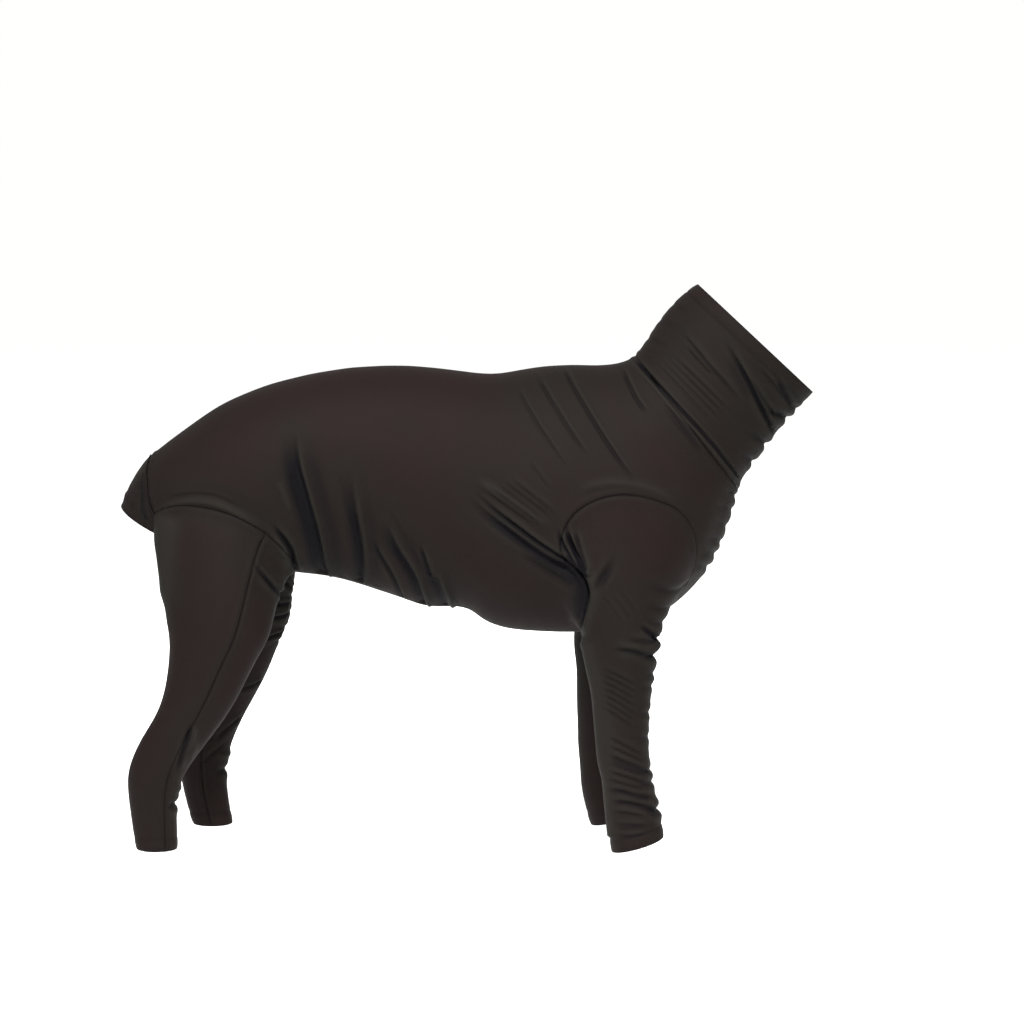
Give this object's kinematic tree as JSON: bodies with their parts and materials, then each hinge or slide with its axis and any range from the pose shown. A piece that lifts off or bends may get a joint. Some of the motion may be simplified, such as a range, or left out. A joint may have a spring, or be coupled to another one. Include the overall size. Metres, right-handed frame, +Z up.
{
  "type": "dog recovery suit",
  "caption": "Full-body recovery suit for a dog, in thin stretch knit, with a high neck tube, four fitted sleeves and an opening under the tail, held in the shape of the standing dog.",
  "frame": {"origin": "on the inside of the cloth over the withers, where the suit rests on the dog's back", "axes": "+X towards the head, +Y to the dog's left, +Z up"},
  "size_m": [0.7666, 0.2247, 0.6215],
  "materials": {
    "knit": "smooth charcoal stretch knit with a faint sheen"
  },
  "bodies": {
    "root": {"tail_band": "knit", "body_shell": "knit", "neck_tube": "knit", "hind_sleeve_back_right": "knit", "hind_sleeve_front_right": "knit", "front_sleeve_right": "knit", "hind_sleeve_back_left": "knit", "hind_sleeve_front_left": "knit", "front_sleeve_left": "knit"}
  },
  "joints": []
}
